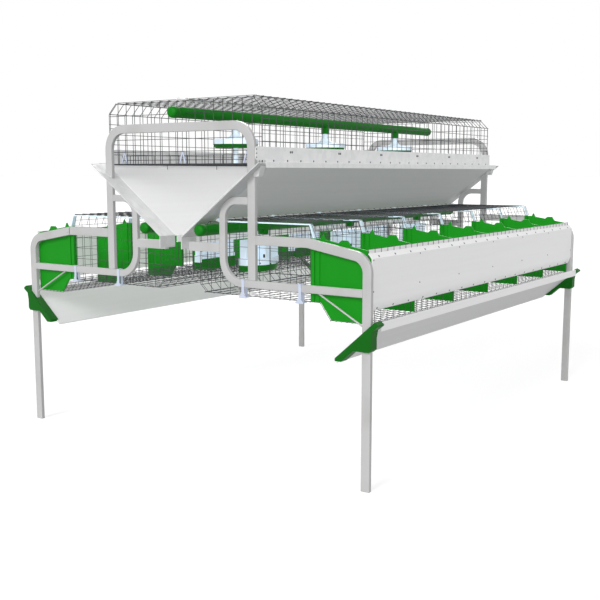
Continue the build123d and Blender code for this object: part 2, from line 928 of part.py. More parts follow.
# Lids of the doe cages, one for each cage, on the rods under the hopper
for name, side in sides:
    for number, y in enumerate(lid_ys, start=1):
        with BuildPart() as lid:
            run_net(
                (side * (rod_x + lid_setback), rod_z),
                (side * lid_outer, rod_z),
                y - cage_pitch / 2 + lid_gap / 2,
                y + cage_pitch / 2 - lid_gap / 2,
                lid_columns,
                lid_rows,
            )
            knuckles(side * rod_x, rod_z, side * (lid_setback + net_edge / 2), (y,))
        save(lid, f"doe_lid_{name}_{number}")


# Feeders of the doe cages: a trough against the wall net and across a divider, with slanted sides, one to
# each doe, a band on it and a chute inside the band
slant_run = trough_width - trough_side
slant_rise = trough_length / 2 - trough_front_half
slant = hypot(slant_run, slant_rise)


def trough_outline(inset):
    half = trough_length / 2 - inset
    front = trough_width / 2 - inset
    turn_x = trough_width / 2 - slant_run - inset * (slant - slant_run) / slant_rise
    turn_y = trough_front_half - inset * (slant - slant_rise) / slant_run
    Polygon(
        (-front, -half), (turn_x, -half), (front, -turn_y), (front, turn_y), (turn_x, half), (-front, half), align=None
    )


def at_feeders(shape):
    with Locations(*[(0, y, 0) for y in feeder_ys]):
        add(shape)
    mirror(about=Plane.YZ)


with BuildPart() as trough:
    draw_angle = degrees(atan2(trough_draw, trough_height))
    with BuildSketch(Plane((trough_mid, 0, trough_z + trough_height))):
        trough_outline(0)
    extrude(amount=-trough_height, taper=draw_angle)
    with BuildSketch(Plane((trough_mid, 0, trough_z + trough_height))):
        trough_outline(trough_wall)
    extrude(amount=trough_wall - trough_height, taper=draw_angle, mode=Mode.SUBTRACT)

with BuildPart() as troughs:
    at_feeders(trough.part)
save(troughs, "feeder_troughs")

with BuildPart() as band:
    with BuildSketch(Plane((trough_mid, 0, band_z))):
        trough_outline(0)
    extrude(amount=band_height)
    with BuildSketch(Plane((trough_mid, 0, band_z))):
        trough_outline(chute_wall)
    extrude(amount=band_height, mode=Mode.SUBTRACT)

# The chute is a bin along the wall net, with a nose out to the divider; it is open above, under the drop
chute_in = trough_in + chute_wall + seat
chute_face = chute_in + chute_depth
chute_half = trough_length / 2 - chute_wall - seat
nose_tip = trough_in + trough_width - chute_wall - seat


def chute_outline(inset, mode):
    back, face, tip = chute_in + inset, chute_face - inset, nose_tip - inset
    half, nose = chute_half - inset, nose_half - inset
    Polygon(
        (back, -half),
        (face, -half),
        (face, -nose),
        (tip, -nose),
        (tip, nose),
        (face, nose),
        (face, half),
        (back, half),
        align=None,
        mode=mode,
    )


with BuildPart() as chute:
    with BuildSketch(Plane.XY.offset(band_z)):
        chute_outline(0, Mode.ADD)
        chute_outline(chute_wall, Mode.SUBTRACT)
    extrude(amount=band_height + chute_rise)

with BuildPart() as chutes:
    at_feeders(band.part)
    at_feeders(chute.part)
save(chutes, "feeder_chutes")

# Straps over the rails that carry the doe floors, and hooks at the ends of the upper floor
strap_back = -frame_in + seat + hanger_thick
strap_front = -frame_out - seat - hanger_thick
strap_low = doe_floor_height - net_thick - seat - hanger_thick
strap_high = rail_top + seat + hanger_thick
strap_hook = -row_half - net_thick + hanger_hook
hook_y = -upper_end + net_thick / 2 + seat
hook_z = upper_floor + seat
with BuildPart() as hangers:
    for x in (strip_x - hanger_outer, strip_x - hanger_outer - hanger_spacing):
        with BuildSketch(Plane.YZ.offset(x)):
            with Locations((strap_front, strap_low)):
                Rectangle(strap_back - strap_front, strap_high - strap_low, align=(Align.MIN, Align.MIN))
                Rectangle(strap_hook - strap_front, hanger_thick, align=(Align.MIN, Align.MIN))
            with Locations((-frame_mid, (strap_low + strap_high) / 2)):
                Rectangle(
                    tube_depth + 2 * seat,
                    strap_high - strap_low - 2 * hanger_thick,
                    mode=Mode.SUBTRACT,
                )
        extrude(amount=hanger_width / 2, both=True)
    mirror(about=Plane.YZ)
    for x in (-hook_spread, 0, hook_spread):
        profile_part(
            [
                (x - hook_half, hook_z),
                (x - hook_half + hook_bar, hook_z),
                (x, hook_z + hook_height - 2 * hook_bar),
                (x + hook_half - hook_bar, hook_z),
                (x + hook_half, hook_z),
                (x + hook_bar / 2, hook_z + hook_height),
                (x - hook_bar / 2, hook_z + hook_height),
            ],
            hook_y,
            hook_y + hook_bar,
        )
    mirror(about=Plane.XZ)
save(hangers, "floor_hangers")

# Deflector boards slope inward under the nests, each with a lip along its outer edge
deflector_x = leg_x + deflector_overhang
deflector_z = nest_floor + deflector_rise
deflector_length = hypot(deflector_run, deflector_fall)
deflector_y = frame_in - bracket_back + groove_depth_end


def deflector_point(along, above):
    x = deflector_x - (along * deflector_run + above * deflector_fall) / deflector_length
    z = deflector_z + (above * deflector_run - along * deflector_fall) / deflector_length
    return (x, z)


def deflector_profile(gap):
    under_x, under_z = deflector_point(deflector_length + gap, -deflector_thick - gap)
    lip_in = deflector_x - deflector_thick - gap
    return [
        (deflector_x + gap, deflector_point(-gap, gap)[1]),
        deflector_point(deflector_length + gap, gap),
        (under_x, under_z),
        (lip_in, under_z + (lip_in - under_x) * deflector_fall / deflector_run),
        (lip_in, deflector_z - deflector_lip - gap),
        (deflector_x + gap, deflector_z - deflector_lip - gap),
    ]


with BuildPart() as deflectors:
    profile_part(deflector_profile(0), -deflector_y, deflector_y)
    mirror(about=Plane.YZ)
save(deflectors, "deflector_boards")

# Moulded corner brackets: slotted over the legs and grooved for the ends of the deflector boards
bracket_low = deflector_z - bracket_drop
toe_x, toe_z = deflector_point(deflector_length - bracket_toe, bracket_cover)
with BuildPart() as brackets:
    with BuildSketch(Plane.XZ.offset(frame_in - bracket_back)):
        Polygon(
            deflector_point(0, bracket_cover),
            (deflector_x + bracket_edge, deflector_z - bracket_edge / 2),
            (deflector_x + bracket_edge, deflector_z - bracket_edge),
            (deflector_x - bracket_edge, deflector_z - bracket_arm_drop),
            (leg_x + bracket_wall, deflector_z - 2 * bracket_arm_drop),
            (leg_x + bracket_wall, bracket_low + bracket_wall),
            (leg_x, bracket_low),
            (leg_x - tube_width - bracket_arm_drop, bracket_low),
            (toe_x + bracket_toe, toe_z - bracket_toe_drop),
            (toe_x, toe_z - bracket_toe_drop),
            (toe_x, toe_z),
            align=None,
        )
    extrude(amount=bracket_back + tube_depth + bracket_front)
    with BuildSketch(Plane.XY):
        with Locations((leg_mid, -frame_mid)):
            Rectangle(tube_width + 2 * seat, tube_depth + 2 * seat)
    extrude(amount=deflector_z + 2 * bracket_edge, mode=Mode.SUBTRACT)
    profile_part(deflector_profile(seat), -deflector_y - seat, -frame_in + bracket_back, mode=Mode.SUBTRACT)
    mirror(about=Plane.YZ)
    mirror(about=Plane.XZ)
save(brackets, "corner_brackets")
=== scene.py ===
import json
import math

import bpy
from mathutils import Matrix, Vector


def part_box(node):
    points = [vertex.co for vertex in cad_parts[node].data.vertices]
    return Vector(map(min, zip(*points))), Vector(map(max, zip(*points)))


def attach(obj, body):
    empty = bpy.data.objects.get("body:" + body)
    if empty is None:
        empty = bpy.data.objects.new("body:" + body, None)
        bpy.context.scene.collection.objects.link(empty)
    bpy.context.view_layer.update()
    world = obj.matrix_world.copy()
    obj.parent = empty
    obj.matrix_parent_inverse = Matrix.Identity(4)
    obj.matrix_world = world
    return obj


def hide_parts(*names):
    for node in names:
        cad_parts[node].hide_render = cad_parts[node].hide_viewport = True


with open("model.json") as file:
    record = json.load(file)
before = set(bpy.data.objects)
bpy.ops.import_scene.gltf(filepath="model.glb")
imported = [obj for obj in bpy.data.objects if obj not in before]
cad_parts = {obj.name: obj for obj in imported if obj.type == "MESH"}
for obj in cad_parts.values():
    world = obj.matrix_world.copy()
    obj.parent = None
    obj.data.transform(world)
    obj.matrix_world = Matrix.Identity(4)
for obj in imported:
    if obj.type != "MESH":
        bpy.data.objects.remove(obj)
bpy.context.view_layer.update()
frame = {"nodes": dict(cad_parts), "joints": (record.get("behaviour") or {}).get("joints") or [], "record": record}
nodes = frame["nodes"]
print("frame loaded:", len(nodes), "nodes")

# Sizes in the dictionaries below are in millimetres, and angles in degrees
rowSides = (("left", -1), ("right", 1))
pipeRadius = 25


# Small helpers: sizes, colours, shader nodes and meshes

def mm(value):
    return value / 1000


def linear(hexColour):  # sRGB hex to the linear values that Blender's sockets want
    parts = [int(hexColour[i:i + 2], 16) / 255 for i in (1, 3, 5)]
    return [c / 12.92 if c <= 0.04045 else ((c + 0.055) / 1.055) ** 2.4 for c in parts] + [1.0]


def addNode(tree, kind, settings=None, inputs=None, links=None):
    node = tree.nodes.new(kind)
    for key, value in (settings or {}).items():
        setattr(node, key, value)
    for key, value in (inputs or {}).items():
        node.inputs[key].default_value = value
    for key, socket in (links or {}).items():
        tree.links.new(socket, node.inputs[key])
    return node


def newMaterial(name):
    material = bpy.data.materials.new(name)
    material.use_nodes = True
    tree = material.node_tree
    tree.nodes.clear()
    coords = addNode(tree, "ShaderNodeTexCoord").outputs["Object"]
    return material, tree, coords


def addNoise(tree, coords, size, detail, distortion=0.0):  # soft clouds of the given size
    inputs = {"Scale": 1 / mm(size), "Detail": detail, "Distortion": distortion}
    return addNode(tree, "ShaderNodeTexNoise", {}, inputs, {"Vector": coords}).outputs["Fac"]


def addTint(tree, share, first, second):  # two colours mixed by a share from 0 to 1
    colours = {6: linear(first), 7: linear(second)}
    return addNode(tree, "ShaderNodeMix", {"data_type": "RGBA"}, colours, {0: share}).outputs[2]


def addBump(tree, height, strength, depth):
    inputs = {"Strength": strength, "Distance": mm(depth)}
    return addNode(tree, "ShaderNodeBump", {}, inputs, {"Height": height}).outputs[0]


def addSurface(tree, inputs, links):
    shader = addNode(tree, "ShaderNodeBsdfPrincipled", {}, inputs, links)
    addNode(tree, "ShaderNodeOutputMaterial", {}, {}, {"Surface": shader.outputs[0]})


def newPiece(name, verts, faces, material, body, slot, smooth=True):
    mesh = bpy.data.meshes.new(name)
    mesh.from_pydata(verts, [], faces)
    mesh.materials.append(material)
    mesh.update()
    if smooth:
        mesh.polygons.foreach_set("use_smooth", [True] * len(mesh.polygons))
    piece = bpy.data.objects.new(name, mesh)
    bpy.context.scene.collection.objects.link(piece)
    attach(piece, body)
    return piece


def spanX(node, side):  # the X of a node's inner and outer face, seen from the middle of the cage
    low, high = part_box(node)
    return (low.x, high.x) if side > 0 else (high.x, low.x)


def crossAxes(run):  # two directions square to a run of unit length and to each other
    nearlyUpright = abs(run.z) >= 0.9
    across = run.cross(Vector((1, 0, 0) if nearlyUpright else (0, 0, 1))).normalized()
    return across, run.cross(across)


def addPrism(verts, faces, outline, offset):  # a closed outline drawn out along one direction
    turn = sum((Vector(a).cross(Vector(b)) for a, b in zip(outline, outline[1:] + outline[:1])), Vector())
    if turn.dot(Vector(offset)) < 0:
        outline = outline[::-1]
    first, count = len(verts), len(outline)
    verts += [Vector(point) for point in outline] + [Vector(point) + Vector(offset) for point in outline]
    for k in range(count):
        after = (k + 1) % count
        faces.append((first + k, first + after, first + count + after, first + count + k))
    faces += [tuple(first + k for k in reversed(range(count))), tuple(first + count + k for k in range(count))]


def rowStrip(name, profile, start, end, material, slot):  # a strip along the row, from its X and Z profile
    verts, faces = [], []
    addPrism(verts, faces, [(x, start, z) for x, z in profile], (0, end - start, 0))
    newPiece(name, verts, faces, material, "cage", slot, smooth=False)


# Materials

# Hot-dip galvanised wire, drawn and welded: dull dark grey with a cloudy zinc bloom
galvanisedWire = {"dark": "#1C1E20", "light": "#3C3F42", "bloom": 14, "roughness": 0.5, "metallic": 0.25}


def makeGalvanisedWire():
    look = galvanisedWire
    material, tree, coords = newMaterial("galvanisedWire")
    tint = addTint(tree, addNoise(tree, coords, look["bloom"], detail=3.0), look["dark"], look["light"])
    addSurface(tree, {"Metallic": look["metallic"], "Roughness": look["roughness"]}, {"Base Color": tint})
    return material


# Powder-coated steel tube: even light grey with a soft orange peel and a few scuffs near the welds.
# The peel is really 2 mm; it is drawn at 9 mm so that it shows at this distance.
powderCoat = {"base": "#A0A0A0", "scuff": "#979796", "scuffFrom": 0.45, "scuffTo": 0.75, "peel": 9, "cloud": 160,
              "roughness": 0.42, "ior": 1.5, "bump": 0.12, "depth": 0.4}


def makePowderCoat():
    look = powderCoat
    material, tree, coords = newMaterial("powderCoatedTube")
    cloud = addNoise(tree, coords, look["cloud"], detail=5.0)
    patch = addNode(tree, "ShaderNodeMapRange", {}, {"From Min": look["scuffFrom"], "From Max": look["scuffTo"]},
                    {"Value": cloud})
    tint = addTint(tree, patch.outputs[0], look["base"], look["scuff"])
    bump = addBump(tree, addNoise(tree, coords, look["peel"], detail=1.0), look["bump"], look["depth"])
    addSurface(tree, {"Roughness": look["roughness"], "IOR": look["ior"]}, {"Base Color": tint, "Normal": bump})
    return material


# Extruded PVC board: matt pale grey, with faint draw lines along the row from the die.
# The lines are really 3 mm apart; they are drawn at 22 mm so that they show.
greyBoard = {"base": "#CECECE", "streak": "#C6C6C7", "line": 22, "stretch": 0.02, "roughness": 0.55, "ior": 1.53,
             "bump": 0.06, "depth": 0.5}
whiteBoard = {**greyBoard, "base": "#DCDCDC", "streak": "#D4D4D5", "roughness": 0.5}


def makePvcBoard(name, look):
    material, tree, coords = newMaterial(name)
    stretch = addNode(tree, "ShaderNodeMapping", {}, {"Scale": (1.0, look["stretch"], 1.0)}, {"Vector": coords})
    streaks = addNoise(tree, stretch.outputs[0], look["line"], detail=4.0)
    tint = addTint(tree, streaks, look["base"], look["streak"])
    bump = addBump(tree, streaks, look["bump"], look["depth"])
    addSurface(tree, {"Roughness": look["roughness"], "IOR": look["ior"]}, {"Base Color": tint, "Normal": bump})
    return material


# Galvanised sheet steel, cold folded: pale grey with a quiet zinc spangle, a little brighter at some crystals
brightSheet = {"light": "#D8D8D8", "dark": "#CFD0D1", "spangle": 26, "smoothest": 0.38, "roughest": 0.56,
               "metallic": 0.2}
greySheet = {**brightSheet, "light": "#BEBEBE", "dark": "#B5B6B7", "smoothest": 0.42, "roughest": 0.6}


def makeGalvanisedSheet(name, look):
    material, tree, coords = newMaterial(name)
    spangle = addNode(tree, "ShaderNodeTexVoronoi", {}, {"Scale": 1 / mm(look["spangle"])}, {"Vector": coords})
    grey = addNode(tree, "ShaderNodeSeparateColor", {}, {}, {"Color": spangle.outputs["Color"]})
    tint = addTint(tree, grey.outputs[0], look["light"], look["dark"])
    gloss = addNode(tree, "ShaderNodeMapRange", {}, {"To Min": look["smoothest"], "To Max": look["roughest"]},
                    {"Value": grey.outputs[1]})
    addSurface(tree, {"Metallic": look["metallic"]}, {"Base Color": tint, "Roughness": gloss.outputs[0]})
    return material


# Injection-moulded polypropylene: saturated colour, satin, with a fine spark texture and slow flow marks.
# The spark texture is really 0.5 mm; it is drawn at 5 to 6 mm so that it shows.
greenPolypropylene = {"base": "#0C7C10", "flow": "#09720C", "mark": 130, "swirl": 0.6, "spark": 6, "roughness": 0.5,
                      "ior": 1.49, "specular": 0.15, "bump": 0.1, "depth": 0.4}
darkPolypropylene = {**greenPolypropylene, "base": "#096A0E", "flow": "#075F0B", "mark": 90, "specular": 0.12,
                     "bump": 0.08}
deepPolypropylene = {**darkPolypropylene, "base": "#08560C", "flow": "#064D09"}
palePolypropylene = {**darkPolypropylene, "base": "#DCEAF6", "flow": "#CFE0F0", "mark": 70, "spark": 5,
                     "roughness": 0.42, "specular": 0.5}


def makePolypropylene(name, look):
    material, tree, coords = newMaterial(name)
    flow = addNoise(tree, coords, look["mark"], detail=3.0, distortion=look["swirl"])
    tint = addTint(tree, flow, look["base"], look["flow"])
    bump = addBump(tree, addNoise(tree, coords, look["spark"], detail=2.0), look["bump"], look["depth"])
    addSurface(tree, {"Roughness": look["roughness"], "IOR": look["ior"], "Specular IOR Level": look["specular"]},
               {"Base Color": tint, "Normal": bump})
    return material


# Enamelled flat bar: pale blue-white paint over steel, slightly glossy, thinner and greyer in cloudy patches.
# The floor hangers' bar is greyer than the hoops'.
paleBar = {"base": "#CFE2EC", "thin": "#B6CCD8", "cloud": 60, "roughness": 0.32, "ior": 1.5, "coat": 0.25,
           "coatRoughness": 0.2}
greyBar = {**paleBar, "base": "#B0B7C8", "thin": "#9EA6B8"}


def makeEnamelledBar(name, look):
    material, tree, coords = newMaterial(name)
    tint = addTint(tree, addNoise(tree, coords, look["cloud"], detail=4.0), look["base"], look["thin"])
    addSurface(tree, {"Roughness": look["roughness"], "IOR": look["ior"], "Coat Weight": look["coat"],
                      "Coat Roughness": look["coatRoughness"]}, {"Base Color": tint})
    return material


# Zinc-plated screws and rivets: dark grey metal with a worn, uneven shine
zincPlate = {"dark": "#38393B", "light": "#6A6C6F", "grain": 3, "roughness": 0.4, "metallic": 0.8}


def makeZincPlate():
    look = zincPlate
    material, tree, coords = newMaterial("zincPlatedScrew")
    tint = addTint(tree, addNoise(tree, coords, look["grain"], detail=2.0), look["dark"], look["light"])
    addSurface(tree, {"Metallic": look["metallic"], "Roughness": look["roughness"]}, {"Base Color": tint})
    return material


# Rubber flap: soft black sheet, matt, with a fine mottle. The mottle is really 0.5 mm; it is drawn at 4 mm.
rubberSheet = {"dark": "#15191A", "light": "#262C2C", "mottle": 4, "roughness": 0.75, "ior": 1.5}


def makeRubberSheet():
    look = rubberSheet
    material, tree, coords = newMaterial("rubberSheet")
    tint = addTint(tree, addNoise(tree, coords, look["mottle"], detail=2.0), look["dark"], look["light"])
    addSurface(tree, {"Roughness": look["roughness"], "IOR": look["ior"]}, {"Base Color": tint})
    return material


wire = makeGalvanisedWire()
rubber = makeRubberSheet()
screwMetal = makeZincPlate()
darkGreen = makePolypropylene("darkGreenPolypropylene", darkPolypropylene)
paleBlue = makePolypropylene("paleBluePolypropylene", palePolypropylene)
whitePanel = makePvcBoard("whitePvcBoard", whiteBoard)
foldedSheet = makeGalvanisedSheet("brightGalvanisedSheet", brightSheet)
saddleSheet = makeGalvanisedSheet("greyGalvanisedSheet", greySheet)
deepGreen = makePolypropylene("deepGreenPolypropylene", deepPolypropylene)
hangerBar = makeEnamelledBar("greyEnamelledBar", greyBar)
finishes = {
    "frame_tube": makePowderCoat(),
    "grey_board": makePvcBoard("greyPvcBoard", greyBoard),
    "sheet_steel": foldedSheet,
    "green_plastic": makePolypropylene("greenPolypropylene", greenPolypropylene),
    "dark_green_plastic": darkGreen,
    "pale_blue_plastic": paleBlue,
    "pale_blue_steel": makeEnamelledBar("paleEnamelledBar", paleBar),
    "net_wire": wire,
}
print("materials made:", len(bpy.data.materials))

# CAD nodes: each takes the finish of its slot, and a small rounded edge where the real piece has one
edgeRounds = {"frame_tube": 2.5, "grey_board": 0.8, "sheet_steel": 0.5, "green_plastic": 1.5,
              "dark_green_plastic": 0.8, "pale_blue_plastic": 0.7, "pale_blue_steel": 0.8}
edgeForm = {"weld": 0.01, "segments": 2, "angle": 35, "flatWeight": 90}

# Pieces whose finish is lighter or darker than the rest of their slot
ownFinish = {"outer_panel_left": whitePanel, "outer_panel_right": whitePanel, "hopper_saddles": saddleSheet,
             "hopper_clips": saddleSheet, "roof_ridge": saddleSheet, "hinge_rods": saddleSheet,
             "corner_brackets": deepGreen, "floor_hangers": hangerBar}


def finishCadNodes():
    for part in frame["record"]["subparts"]:
        node, slot = part["node"], part["material_slot"]
        shown = nodes[node]
        shown.data.materials.clear()
        shown.data.materials.append(ownFinish.get(node, finishes[slot]))
        if slot in edgeRounds:
            weld = shown.modifiers.new("weld", "WELD")
            weld.merge_threshold = mm(edgeForm["weld"])
            bevel = shown.modifiers.new("roundedEdge", "BEVEL")
            bevel.width = mm(edgeRounds[slot])
            bevel.segments = edgeForm["segments"]
            bevel.limit_method = "ANGLE"
            bevel.angle_limit = math.radians(edgeForm["angle"])
            flat = shown.modifiers.new("flatFaces", "WEIGHTED_NORMAL")  # keeps the large faces flat in the light
            flat.weight = edgeForm["flatWeight"]


finishCadNodes()
print("finishes set on the CAD nodes")


# Nets of real wires. A net lies in a plane given by an origin and two directions, inside a convex outline.

def addWire(verts, faces, start, end, radius, edges=6):
    across, over = crossAxes((end - start).normalized())
    first = len(verts)
    for point in (start, end):
        for k in range(edges):
            turn = 2 * math.pi * k / edges
            verts.append(point + radius * (math.cos(turn) * across + math.sin(turn) * over))
    for k in range(edges):
        after = (k + 1) % edges
        faces.append((first + k, first + after, first + edges + after, first + edges + k))
    faces.append(tuple(first + k for k in reversed(range(edges))))
    faces.append(tuple(first + edges + k for k in range(edges)))


def addRing(verts, faces, centre, radius, thick, steps=14, edges=5):  # a wire loop round a rod that runs along Y
    first = len(verts)
    for i in range(steps):
        turn = 2 * math.pi * i / steps
        outward = Vector((math.cos(turn), 0, math.sin(turn)))
        for k in range(edges):
            roll = 2 * math.pi * k / edges
            verts.append(centre + outward * (radius + thick * math.cos(roll)) + Vector((0, thick * math.sin(roll), 0)))
    for i in range(steps):
        here, ahead = first + i * edges, first + ((i + 1) % steps) * edges
        for k in range(edges):
            after = (k + 1) % edges
            faces.append((here + k, here + after, ahead + after, ahead + k))


def spanInside(outline, fixed, value):  # where the line at a fixed u or v crosses a convex outline
    hits = []
    for a, b in zip(outline, outline[1:] + outline[:1]):
        low, high = a[fixed], b[fixed]
        if low != high and min(low, high) <= value <= max(low, high):
            share = (value - low) / (high - low)
            hits.append(a[1 - fixed] + share * (b[1 - fixed] - a[1 - fixed]))
    return (min(hits), max(hits)) if hits else None


def cutSpan(span, holes, fixed, value):  # the span less the square cut-outs that the wire would cross
    pieces = [span]
    for hole in holes:
        if hole[0][fixed] < value < hole[1][fixed]:
            low, high = hole[0][1 - fixed], hole[1][1 - fixed]
            cut = []
            for a, b in pieces:
                cut += [(a, min(b, low))] if a < low else []
                cut += [(max(a, high), b)] if b > high else []
            pieces = cut
    return pieces


def gridLines(low, high, pitch):
    count = max(1, round((high - low) / pitch))
    return [low + (high - low) * k / count for k in range(count + 1)]


def addNet(verts, faces, origin, uDir, vDir, outline, pitch, thick, holes=()):
    uDir, vDir = Vector(uDir).normalized(), Vector(vDir).normalized()
    lift = uDir.cross(vDir) * thick / 2

    def place(u, v):
        return Vector(origin) + uDir * u + vDir * v

    bounds = [(min(p[i] for p in outline), max(p[i] for p in outline)) for i in (0, 1)]
    for fixed in (0, 1):
        side = lift if fixed else -lift
        for value in gridLines(*bounds[fixed], pitch[fixed]):
            span = spanInside(outline, fixed, value)
            if span and span[1] - span[0] > thick:
                for a, b in cutSpan(span, holes, fixed, value):
                    ends = [(value, a), (value, b)] if fixed == 0 else [(a, value), (b, value)]
                    addWire(verts, faces, place(*ends[0]) + side, place(*ends[1]) + side, thick / 2)
    for a, b in zip(outline, outline[1:] + outline[:1]):  # border wires where the outline slopes
        if a[0] != b[0] and a[1] != b[1]:
            addWire(verts, faces, place(*a), place(*b), thick / 2)


def rectangle(uLength, vLength):
    return [(0, 0), (uLength, 0), (uLength, vLength), (0, vLength)]


def wirePiece(name, verts, faces, node, body="cage"):
    piece = newPiece(name, verts, faces, wire, body, "net_wire")
    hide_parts(node)


# Straight nets that run along the row, between two edges seen in cross-section
def rowNet(verts, faces, start, end, yFrom, yTo, pitch, thick):
    run = Vector((end[0] - start[0], 0, end[1] - start[1]))
    outline = rectangle(yTo - yFrom, run.length)
    addNet(verts, faces, (start[0], yFrom, start[1]), (0, 1, 0), run, outline, pitch, thick)


def rowPiece(name, node, runs, pitch, thick):  # one piece of such nets, as long as the node it stands for
    low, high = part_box(node)
    verts, faces = [], []
    for start, end in runs:
        rowNet(verts, faces, start, end, low.y, high.y, pitch, thick)
    wirePiece(name, verts, faces, node)


# Upper cage: the floor net is turned up at its two ends, and the side nets stand on the hopper boards
upperCage = {"pitch": 52, "bevelPitch": 80, "wire": 3.0, "pipeHole": 27, "upturn": 40, "upturnHalf": 385,
             "upturnInset": 8, "feet": 400}


def makeUpperCage():
    look = upperCage
    thick = mm(look["wire"])
    along = mm(look["pitch"])
    pitch = (along, along)
    floorLow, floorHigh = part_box("upper_floor")
    floorZ = (floorLow.z + floorHigh.z) / 2
    verts, faces = [], []
    rowNet(verts, faces, (floorLow.x, floorZ), (floorHigh.x, floorZ), floorLow.y, floorHigh.y, pitch, thick)
    half, rise, inset = mm(look["upturnHalf"]), mm(look["upturn"]), mm(look["upturnInset"])
    for y in (floorLow.y + inset, floorHigh.y - inset):
        outline = rectangle(2 * half, rise)
        addNet(verts, faces, (-half, y, floorZ), (1, 0, 0), (0, 0, 1), outline, (along, rise / 2), thick)
    wirePiece("upperFloorWires", verts, faces, "upper_floor")

    for name, side in rowSides:
        node = "upper_side_" + name
        low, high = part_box(node)
        x = (low.x + high.x) / 2
        verts, faces = [], []
        rowNet(verts, faces, (x, floorZ), (x, high.z), low.y, high.y, pitch, thick)
        for y in gridLines(low.y, high.y, mm(look["feet"])):
            addWire(verts, faces, Vector((x, y, low.z)), Vector((x, y, floorZ)), thick / 2)
        wirePiece("upperSideWires." + name, verts, faces, node)

        node = "upper_bevel_" + name
        low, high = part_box(node)
        inner, outer = spanX(node, side)
        runs = [((outer - side * thick / 2, low.z), (inner, high.z - thick / 2))]
        rowPiece("upperBevelWires." + name, node, runs, (along, mm(look["bevelPitch"])), thick)

    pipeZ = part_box("upper_feed_pipe")[1].z - mm(pipeRadius)
    hole = mm(look["pipeHole"])
    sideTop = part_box("upper_side_right")[1].z
    for name in ("front", "rear"):
        node = "upper_end_" + name
        low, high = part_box(node)
        y = (low.y + high.y) / 2
        width, height = high.x - low.x, high.z - low.z
        shoulder = sideTop - low.z
        slope = height - shoulder
        outline = [(0, 0), (width, 0), (width, shoulder), (width - slope, height), (slope, height), (0, shoulder)]
        cut = ((-low.x - hole, pipeZ - hole - low.z), (-low.x + hole, pipeZ + hole - low.z))
        verts, faces = [], []
        addNet(verts, faces, (low.x, y, low.z), (1, 0, 0), (0, 0, 1), outline, pitch, thick, [cut])
        wirePiece("upperEndWires." + name, verts, faces, node)


makeUpperCage()

# Lids: a net with wire loops round the hinge rod. The doe lids lie just above the hoops.
lid = {"pitch": 52, "wire": 2.5, "doeLift": 0.5, "edge": 12, "loopInset": 40, "loopGap": 60, "loopRadius": 6.2}


def makeLids():
    look = lid
    thick, pitch = mm(look["wire"]), mm(look["pitch"])
    inset, loopRadius = mm(look["loopInset"]), mm(look["loopRadius"])
    for joint in frame["joints"]:
        node = joint["child"]
        pivot = Vector(joint["pos_m"])
        low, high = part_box(node)
        side = 1 if "_right_" in node else -1
        edge = pivot.x + side * mm(look["edge"])
        height = pivot.z + (mm(look["doeLift"]) if node.startswith("doe") else 0)
        start, end = sorted((edge, spanX(node, side)[1]))
        verts, faces = [], []
        rowNet(verts, faces, (start, height), (end, height), low.y, high.y, (pitch, pitch), thick)
        for y in gridLines(low.y + inset, high.y - inset, mm(look["loopGap"])):
            addRing(verts, faces, Vector((pivot.x, y, pivot.z)), loopRadius, thick / 2)
            root = Vector((pivot.x + side * loopRadius, y, pivot.z))
            addWire(verts, faces, root, Vector((edge, y, height)), thick / 2)
        wirePiece("lidWires." + node, verts, faces, node, node)


makeLids()

# Nets of the two rows of doe cages and nests. The inner walls have a slanted foot, the nest floors a sloping step.
rowNets = {"pitch": 52, "wallPitch": 48, "finePitch": 26, "wire": 2.3, "footRise": 33, "stepX": 811, "nestLift": 2}


def makeRowNets():
    look = rowNets
    thick = mm(look["wire"])
    wide, wall, fine = [(mm(look["pitch"]), mm(look[key])) for key in ("pitch", "wallPitch", "finePitch")]
    for name, side in rowSides:
        node = "doe_floor_" + name
        low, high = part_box(node)
        floorZ = (low.z + high.z) / 2
        rowPiece("doeFloorWires." + name, node, [((low.x, floorZ), (high.x, floorZ))], wide, thick)

        node = "inner_wall_" + name
        low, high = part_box(node)
        inner, outer = spanX(node, side)
        knee = (inner + side * thick / 2, floorZ + mm(look["footRise"]))
        runs = [(knee, (knee[0], high.z)), (knee, (outer - side * thick / 2, low.z + thick / 2))]
        rowPiece("innerWallWires." + name, node, runs, wall, thick)

        node = "nest_floor_" + name
        low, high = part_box(node)
        inner, outer = spanX(node, side)
        step = (side * mm(look["stepX"]), low.z + mm(look["nestLift"]))
        runs = [((inner, high.z - thick), step), (step, (outer, step[1]))]
        rowPiece("nestFloorWires." + name, node, runs, fine, thick)

        node = "nest_net_" + name
        low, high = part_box(node)
        x = (low.x + high.x) / 2
        rowPiece("nestNetWires." + name, node, [((x, low.z), (x, high.z))], wall, thick)

        node = "skirt_" + name
        low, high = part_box(node)
        inner, outer = spanX(node, side)
        runs = [((inner + side * thick, high.z - thick / 2), (outer - side * thick / 2, low.z))]
        rowPiece("skirtWires." + name, node, runs, fine, thick)


makeRowNets()

# Pale edge guards clipped inside the top of the nest nets; the wires show as ticks in front of them
nestGuard = {"height": 19, "thick": 2, "hem": 3, "inset": 4.2, "topGap": 0.5, "endGap": 6}


def makeNestGuards():
    look = nestGuard
    depth, hem, endGap = mm(look["thick"]), mm(look["hem"]), mm(look["endGap"])
    for name, side in rowSides:
        low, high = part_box("nest_net_" + name)
        x = spanX("nest_net_" + name, side)[1] - side * mm(look["inset"])
        top, foot = high.z - mm(look["topGap"]), high.z - mm(look["height"])
        profile = [(0, foot), (0, top - hem / 2), (hem / 2, top), (hem, top - hem / 2), (hem, top - hem),
                   (depth, top - hem), (depth, foot)]
        rowStrip("nestGuard." + name, [(x - side * back, z) for back, z in profile], low.y + endGap, high.y - endGap,
                 whitePanel, "grey_board")


makeNestGuards()

